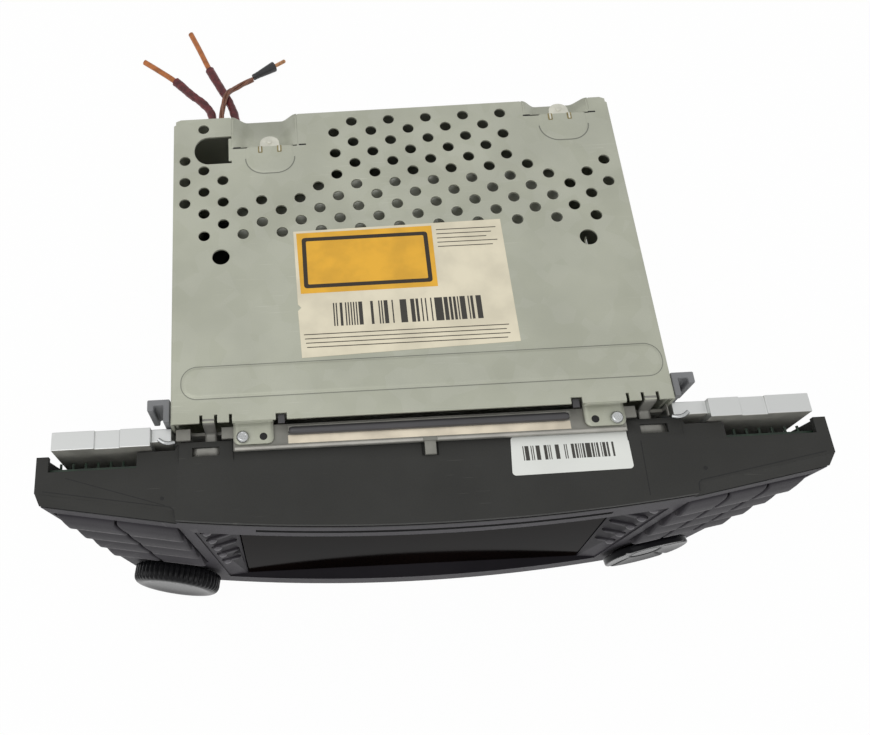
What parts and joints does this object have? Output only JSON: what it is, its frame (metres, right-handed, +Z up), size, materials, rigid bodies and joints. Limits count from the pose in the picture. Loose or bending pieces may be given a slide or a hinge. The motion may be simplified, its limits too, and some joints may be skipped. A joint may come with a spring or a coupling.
{
  "type": "car navigation head unit",
  "caption": "Car navigation and radio head unit: curved dark fascia with display, key blocks, knob and rocker on a vented sheet metal chassis.",
  "frame": {"origin": "on the underside, on the fascia's centre line, at the middle of the chassis depth", "axes": "+X to the unit's right as its face is looked at, +Y to its back, +Z up; the face looks along -Y"},
  "size_m": [0.284, 0.3387, 0.1185],
  "materials": {
    "galvanised_sheet": "dull grey-green galvanised sheet with light scuffs",
    "bright_sheet": "bright plated sheet",
    "plated_steel": "zinc plated",
    "cast_aluminium": "as cast, matt",
    "dark_aluminium": "dark anodised",
    "grey_plastic": "moulded, matt",
    "black_plastic": "moulded, satin",
    "fascia_plastic": "fine grained, matt",
    "bezel_plastic": "soft painted, satin",
    "key_plastic": "soft painted, satin, worn at the edges",
    "gloss_black": "polished",
    "display_glass": "dark, glossy",
    "circuit_board": "solder mask, satin",
    "roller_rubber": "matt",
    "lead_insulation": "satin sheath with dark red heat-shrink",
    "lead_sleeve": "shrunk sleeve, satin"
  },
  "bodies": {
    "root": {"chassis_tray": "galvanised_sheet", "top_cover": "galvanised_sheet", "cover_screw_left": "plated_steel", "cover_screw_right": "plated_steel", "front_frame": "bright_sheet", "side_arm_left": "cast_aluminium", "side_arm_right": "cast_aluminium", "side_hook_left": "grey_plastic", "side_hook_right": "grey_plastic", "disc_drive": "galvanised_sheet", "main_board": "circuit_board", "tuner_module": "galvanised_sheet", "heat_sink": "dark_aluminium", "harness_header": "black_plastic", "harness_plug": "grey_plastic", "rocker_post": "black_plastic", "lead_left": "lead_insulation", "lead_right": "lead_insulation", "lead_twisted": "lead_insulation", "lead_cap": "lead_sleeve", "fascia_housing": "fascia_plastic", "front_bezel": "bezel_plastic", "display_window": "display_glass", "display_module": "black_plastic", "control_board": "circuit_board"},
    "knob_shaft": {"knob_shaft": "plated_steel"},
    "volume_knob": {"volume_knob": "black_plastic"},
    "rocker_gimbal": {"rocker_gimbal": "plated_steel"},
    "cursor_rocker": {"cursor_rocker": "gloss_black"},
    "disc_feed_roller": {"disc_feed_roller": "roller_rubber"},
    "function_key_1": {"function_key_1": "key_plastic"},
    "function_key_2": {"function_key_2": "key_plastic"},
    "function_key_3": {"function_key_3": "key_plastic"},
    "function_key_4": {"function_key_4": "key_plastic"},
    "function_key_5": {"function_key_5": "key_plastic"},
    "function_key_6": {"function_key_6": "key_plastic"},
    "function_key_7": {"function_key_7": "key_plastic"},
    "function_key_8": {"function_key_8": "key_plastic"},
    "number_key_1": {"number_key_1": "key_plastic"},
    "number_key_2": {"number_key_2": "key_plastic"},
    "number_key_3": {"number_key_3": "key_plastic"},
    "number_key_4": {"number_key_4": "key_plastic"},
    "number_key_5": {"number_key_5": "key_plastic"},
    "number_key_6": {"number_key_6": "key_plastic"},
    "number_key_7": {"number_key_7": "key_plastic"},
    "number_key_8": {"number_key_8": "key_plastic"},
    "number_key_9": {"number_key_9": "key_plastic"},
    "number_key_10": {"number_key_10": "key_plastic"},
    "number_key_11": {"number_key_11": "key_plastic"},
    "number_key_12": {"number_key_12": "key_plastic"},
    "soft_key_left_1": {"soft_key_left_1": "key_plastic"},
    "soft_key_left_2": {"soft_key_left_2": "key_plastic"},
    "soft_key_left_3": {"soft_key_left_3": "key_plastic"},
    "soft_key_left_4": {"soft_key_left_4": "key_plastic"},
    "soft_key_left_5": {"soft_key_left_5": "key_plastic"},
    "soft_key_right_1": {"soft_key_right_1": "key_plastic"},
    "soft_key_right_2": {"soft_key_right_2": "key_plastic"},
    "soft_key_right_3": {"soft_key_right_3": "key_plastic"},
    "soft_key_right_4": {"soft_key_right_4": "key_plastic"},
    "soft_key_right_5": {"soft_key_right_5": "key_plastic"}
  },
  "joints": [
    {"name": "knob_shaft_press", "type": "slide", "parent": "root", "child": "knob_shaft", "axis": [0.1729, 0.9849, 0], "range_m": [0, 0.0008], "stiffness_N_per_m": 900},
    {"name": "volume_knob_turn", "type": "hinge", "parent": "knob_shaft", "child": "volume_knob", "pos_m": [-0.10336, -0.09802, 0.0196], "axis": [-0.1729, -0.9849, 0], "continuous": true},
    {"name": "rocker_tilt_up_down", "type": "hinge", "parent": "root", "child": "rocker_gimbal", "pos_m": [0.09952, -0.09087, 0.0196], "axis": [0.9849, 0.1729, 0], "range_deg": [-2.5, 2.5], "stiffness_Nm_per_rad": 0.3},
    {"name": "rocker_tilt_sideways", "type": "hinge", "parent": "rocker_gimbal", "child": "cursor_rocker", "pos_m": [0.09952, -0.09087, 0.0196], "axis": [0, 0, 1], "range_deg": [-2.5, 2.5], "stiffness_Nm_per_rad": 0.3},
    {"name": "disc_feed_roller_turn", "type": "hinge", "parent": "root", "child": "disc_feed_roller", "pos_m": [-0.0035, -0.0575, 0.0947], "axis": [1, 0, 0], "continuous": true},
    {"name": "function_key_1_press", "type": "slide", "parent": "root", "child": "function_key_1", "axis": [0.1729, 0.9849, 0], "range_m": [0, 0.001], "stiffness_N_per_m": 600},
    {"name": "function_key_2_press", "type": "slide", "parent": "root", "child": "function_key_2", "axis": [0.1729, 0.9849, 0], "range_m": [0, 0.001], "stiffness_N_per_m": 600},
    {"name": "function_key_3_press", "type": "slide", "parent": "root", "child": "function_key_3", "axis": [0.1729, 0.9849, 0], "range_m": [0, 0.001], "stiffness_N_per_m": 600},
    {"name": "function_key_4_press", "type": "slide", "parent": "root", "child": "function_key_4", "axis": [0.1729, 0.9849, 0], "range_m": [0, 0.001], "stiffness_N_per_m": 600},
    {"name": "function_key_5_press", "type": "slide", "parent": "root", "child": "function_key_5", "axis": [0.1729, 0.9849, 0], "range_m": [0, 0.001], "stiffness_N_per_m": 600},
    {"name": "function_key_6_press", "type": "slide", "parent": "root", "child": "function_key_6", "axis": [0.1729, 0.9849, 0], "range_m": [0, 0.001], "stiffness_N_per_m": 600},
    {"name": "function_key_7_press", "type": "slide", "parent": "root", "child": "function_key_7", "axis": [0.1729, 0.9849, 0], "range_m": [0, 0.001], "stiffness_N_per_m": 600},
    {"name": "function_key_8_press", "type": "slide", "parent": "root", "child": "function_key_8", "axis": [0.1729, 0.9849, 0], "range_m": [0, 0.001], "stiffness_N_per_m": 600},
    {"name": "number_key_1_press", "type": "slide", "parent": "root", "child": "number_key_1", "axis": [-0.1729, 0.9849, 0], "range_m": [0, 0.001], "stiffness_N_per_m": 600},
    {"name": "number_key_2_press", "type": "slide", "parent": "root", "child": "number_key_2", "axis": [-0.1729, 0.9849, 0], "range_m": [0, 0.001], "stiffness_N_per_m": 600},
    {"name": "number_key_3_press", "type": "slide", "parent": "root", "child": "number_key_3", "axis": [-0.1729, 0.9849, 0], "range_m": [0, 0.001], "stiffness_N_per_m": 600},
    {"name": "number_key_4_press", "type": "slide", "parent": "root", "child": "number_key_4", "axis": [-0.1729, 0.9849, 0], "range_m": [0, 0.001], "stiffness_N_per_m": 600},
    {"name": "number_key_5_press", "type": "slide", "parent": "root", "child": "number_key_5", "axis": [-0.1729, 0.9849, 0], "range_m": [0, 0.001], "stiffness_N_per_m": 600},
    {"name": "number_key_6_press", "type": "slide", "parent": "root", "child": "number_key_6", "axis": [-0.1729, 0.9849, 0], "range_m": [0, 0.001], "stiffness_N_per_m": 600},
    {"name": "number_key_7_press", "type": "slide", "parent": "root", "child": "number_key_7", "axis": [-0.1729, 0.9849, 0], "range_m": [0, 0.001], "stiffness_N_per_m": 600},
    {"name": "number_key_8_press", "type": "slide", "parent": "root", "child": "number_key_8", "axis": [-0.1729, 0.9849, 0], "range_m": [0, 0.001], "stiffness_N_per_m": 600},
    {"name": "number_key_9_press", "type": "slide", "parent": "root", "child": "number_key_9", "axis": [-0.1729, 0.9849, 0], "range_m": [0, 0.001], "stiffness_N_per_m": 600},
    {"name": "number_key_10_press", "type": "slide", "parent": "root", "child": "number_key_10", "axis": [-0.1729, 0.9849, 0], "range_m": [0, 0.001], "stiffness_N_per_m": 600},
    {"name": "number_key_11_press", "type": "slide", "parent": "root", "child": "number_key_11", "axis": [-0.1729, 0.9849, 0], "range_m": [0, 0.001], "stiffness_N_per_m": 600},
    {"name": "number_key_12_press", "type": "slide", "parent": "root", "child": "number_key_12", "axis": [-0.1729, 0.9849, 0], "range_m": [0, 0.001], "stiffness_N_per_m": 600},
    {"name": "soft_key_left_1_press", "type": "slide", "parent": "root", "child": "soft_key_left_1", "axis": [-0.3072, 0.9516, 0], "range_m": [0, 0.0008], "stiffness_N_per_m": 400},
    {"name": "soft_key_left_2_press", "type": "slide", "parent": "root", "child": "soft_key_left_2", "axis": [-0.2882, 0.9576, 0], "range_m": [0, 0.0008], "stiffness_N_per_m": 400},
    {"name": "soft_key_left_3_press", "type": "slide", "parent": "root", "child": "soft_key_left_3", "axis": [-0.2656, 0.9641, 0], "range_m": [0, 0.0008], "stiffness_N_per_m": 400},
    {"name": "soft_key_left_4_press", "type": "slide", "parent": "root", "child": "soft_key_left_4", "axis": [-0.2386, 0.9711, 0], "range_m": [0, 0.0008], "stiffness_N_per_m": 400},
    {"name": "soft_key_left_5_press", "type": "slide", "parent": "root", "child": "soft_key_left_5", "axis": [-0.2056, 0.9786, 0], "range_m": [0, 0.0008], "stiffness_N_per_m": 400},
    {"name": "soft_key_right_1_press", "type": "slide", "parent": "root", "child": "soft_key_right_1", "axis": [0.3072, 0.9516, 0], "range_m": [0, 0.0008], "stiffness_N_per_m": 400},
    {"name": "soft_key_right_2_press", "type": "slide", "parent": "root", "child": "soft_key_right_2", "axis": [0.2882, 0.9576, 0], "range_m": [0, 0.0008], "stiffness_N_per_m": 400},
    {"name": "soft_key_right_3_press", "type": "slide", "parent": "root", "child": "soft_key_right_3", "axis": [0.2656, 0.9641, 0], "range_m": [0, 0.0008], "stiffness_N_per_m": 400},
    {"name": "soft_key_right_4_press", "type": "slide", "parent": "root", "child": "soft_key_right_4", "axis": [0.2386, 0.9711, 0], "range_m": [0, 0.0008], "stiffness_N_per_m": 400},
    {"name": "soft_key_right_5_press", "type": "slide", "parent": "root", "child": "soft_key_right_5", "axis": [0.2056, 0.9786, 0], "range_m": [0, 0.0008], "stiffness_N_per_m": 400}
  ]
}
